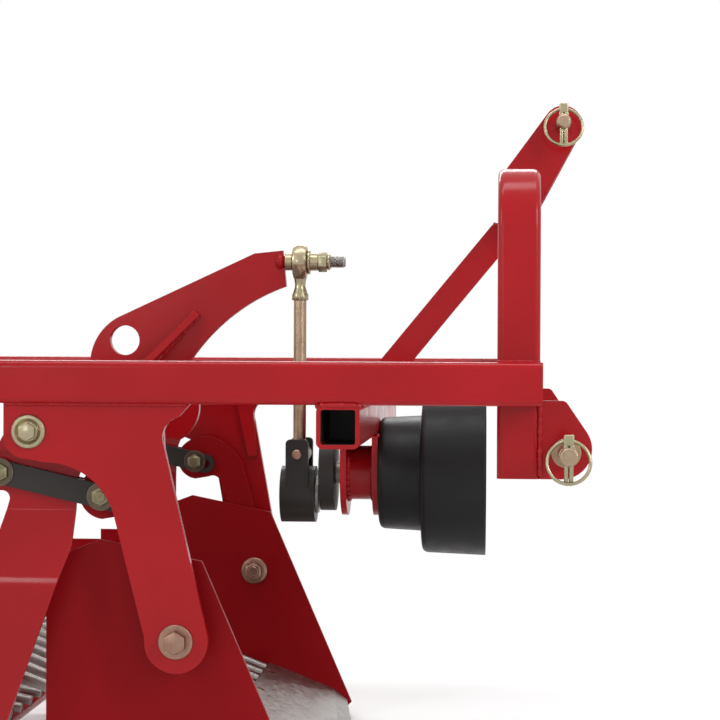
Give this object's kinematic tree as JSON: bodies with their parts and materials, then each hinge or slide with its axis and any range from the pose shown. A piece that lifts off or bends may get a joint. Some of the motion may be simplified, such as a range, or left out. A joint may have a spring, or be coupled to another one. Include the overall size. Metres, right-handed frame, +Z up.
{
  "type": "potato digger",
  "caption": "Tractor-mounted vibrating potato digger: square-tube frame with hitch hoop, shaft-driven crank and rocker that shake a digging share and a rod sieve.",
  "frame": {"origin": "on the ground, at the middle of the machine's length and width", "axes": "+X towards the tractor, +Y to the left, +Z up"},
  "size_m": [1.088, 0.886, 0.876],
  "materials": {
    "red_paint": "gloss",
    "black_paint": "satin",
    "guard_plastic": "satin",
    "zinc": "yellow zinc plate",
    "bare_steel": "bare"
  },
  "bodies": {
    "frame": {"side_rail_right": "red_paint", "side_rail_left": "red_paint", "drive_cross_tube": "red_paint", "rear_cross_tube": "red_paint", "hitch_hoop": "red_paint", "top_link_ears": "red_paint", "mast_brace": "red_paint", "lower_hitch_plates": "red_paint", "hitch_pins": "zinc", "top_link_pin": "zinc", "bearing_hangers": "red_paint", "bearing_housing": "red_paint", "shaft_bearings": "bare_steel", "pto_guard": "guard_plastic", "guard_screws": "zinc", "leg_right": "red_paint", "leg_left": "red_paint", "share_pivot_bolts": "zinc", "share_pivot_washers": "zinc", "stand_sockets": "red_paint", "rear_rail_bolts": "zinc"},
    "shaft": {"input_shaft": "bare_steel", "crank_disc": "black_paint"},
    "rocker": {"rocker_arm": "red_paint", "rocker_ribs": "red_paint", "rocker_shaft": "red_paint", "rocker_pivot_bolts": "zinc", "rocker_levers": "red_paint", "rocker_stud": "bare_steel", "rod_end_ball": "bare_steel", "stud_nuts": "zinc", "link_rear_bolts": "zinc"},
    "rod": {"connecting_rod": "zinc", "rod_end_housing": "zinc"},
    "big_end": {"big_end_housing": "black_paint", "big_end_bearing": "bare_steel", "crank_pin": "bare_steel", "clevis_pin": "zinc"},
    "share_box": {"share_panel_right": "red_paint", "share_panel_left": "red_paint", "share_levers": "red_paint", "share_blade": "bare_steel", "share_bar": "red_paint", "share_box_bolts": "zinc", "share_fingers": "bare_steel"},
    "link_bars": {"links": "black_paint"},
    "sieve": {"sieve_panel_right": "red_paint", "sieve_panel_left": "red_paint", "sieve_cross_bars": "red_paint", "sieve_rods": "bare_steel", "hanger_low_bolts": "zinc"},
    "hanger_bars": {"sieve_hangers": "black_paint"},
    "stand_right": {"stand_right": "red_paint"},
    "stand_left": {"stand_left": "red_paint"},
    "pin_top": {"linchpin_top": "zinc"},
    "ring_top": {"linchpin_ring_top": "zinc"},
    "pin_right": {"linchpin_right": "zinc"},
    "ring_right": {"linchpin_ring_right": "zinc"},
    "pin_left": {"linchpin_left": "zinc"},
    "ring_left": {"linchpin_ring_left": "zinc"}
  },
  "joints": [
    {"name": "shaft_spin", "type": "hinge", "parent": "frame", "child": "shaft", "pos_m": [0.3, 0, 0.3905], "axis": [1, 0, 0], "continuous": true},
    {"name": "rocker_swing", "type": "hinge", "parent": "frame", "child": "rocker", "pos_m": [-0.108, 0, 0.4592], "axis": [0, -1, 0], "range_deg": [0, 12.22]},
    {"name": "rod_tilt", "type": "hinge", "parent": "rocker", "child": "rod", "pos_m": [0.169, 0, 0.6725], "axis": [0, -1, 0], "range_deg": [-0.73, 0.05]},
    {"name": "big_end_tilt", "type": "hinge", "parent": "rod", "child": "big_end", "pos_m": [0.169, 0, 0.4155], "axis": [0, -1, 0], "range_deg": [-11.59, 0.05]},
    {"name": "share_swing", "type": "hinge", "parent": "frame", "child": "share_box", "pos_m": [0.0655, 0, 0.2175], "axis": [0, -1, 0], "range_deg": [-4.64, 0.05]},
    {"name": "link_swing", "type": "hinge", "parent": "rocker", "child": "link_bars", "pos_m": [-0.1462, 0, 0.4107], "axis": [0, -1, 0], "range_deg": [-5.59, 0.05]},
    {"name": "sieve_swing", "type": "hinge", "parent": "rocker", "child": "sieve", "pos_m": [-0.1462, 0, 0.4107], "axis": [0, -1, 0], "range_deg": [-13.78, 0.05]},
    {"name": "hanger_swing", "type": "hinge", "parent": "frame", "child": "hanger_bars", "pos_m": [-0.432, 0, 0.517], "axis": [0, -1, 0], "range_deg": [-0.05, 4.57]},
    {"name": "linchpin_top_lift", "type": "slide", "parent": "frame", "child": "pin_top", "axis": [0, 0, 1], "range_m": [0, 0.075]},
    {"name": "ring_top_flip", "type": "hinge", "parent": "pin_top", "child": "ring_top", "pos_m": [0.518, -0.068, 0.8678], "axis": [-1, 0, 0], "range_deg": [0, 150]},
    {"name": "linchpin_right_lift", "type": "slide", "parent": "frame", "child": "pin_right", "axis": [0, 0, 1], "range_m": [0, 0.075]},
    {"name": "ring_right_flip", "type": "hinge", "parent": "pin_right", "child": "ring_right", "pos_m": [0.514, -0.418, 0.45505], "axis": [-1, 0, 0], "range_deg": [0, 150]},
    {"name": "linchpin_left_lift", "type": "slide", "parent": "frame", "child": "pin_left", "axis": [0, 0, 1], "range_m": [0, 0.075]},
    {"name": "ring_left_flip", "type": "hinge", "parent": "pin_left", "child": "ring_left", "pos_m": [0.514, 0.418, 0.45505], "axis": [1, 0, 0], "range_deg": [0, 150]},
    {"name": "stand_right_slide", "type": "slide", "parent": "frame", "child": "stand_right", "axis": [0, 0, 1], "range_m": [0, 0.2]},
    {"name": "stand_left_slide", "type": "slide", "parent": "frame", "child": "stand_left", "axis": [0, 0, 1], "range_m": [0, 0.2]}
  ],
  "couplings": [
    {"joint": "rod_tilt", "follows": "rocker_swing", "ratio": -0.0554},
    {"joint": "big_end_tilt", "follows": "rocker_swing", "ratio": -0.9446},
    {"joint": "share_swing", "follows": "rocker_swing", "ratio": -0.3757},
    {"joint": "link_swing", "follows": "rocker_swing", "ratio": -0.4537},
    {"joint": "sieve_swing", "follows": "rocker_swing", "ratio": -1.1233},
    {"joint": "hanger_swing", "follows": "rocker_swing", "ratio": 0.37},
    {"joint": "ring_top_flip", "follows": "linchpin_top_lift", "rad_per_m": 34.872},
    {"joint": "ring_right_flip", "follows": "linchpin_right_lift", "rad_per_m": 34.872},
    {"joint": "ring_left_flip", "follows": "linchpin_left_lift", "rad_per_m": 34.872}
  ]
}
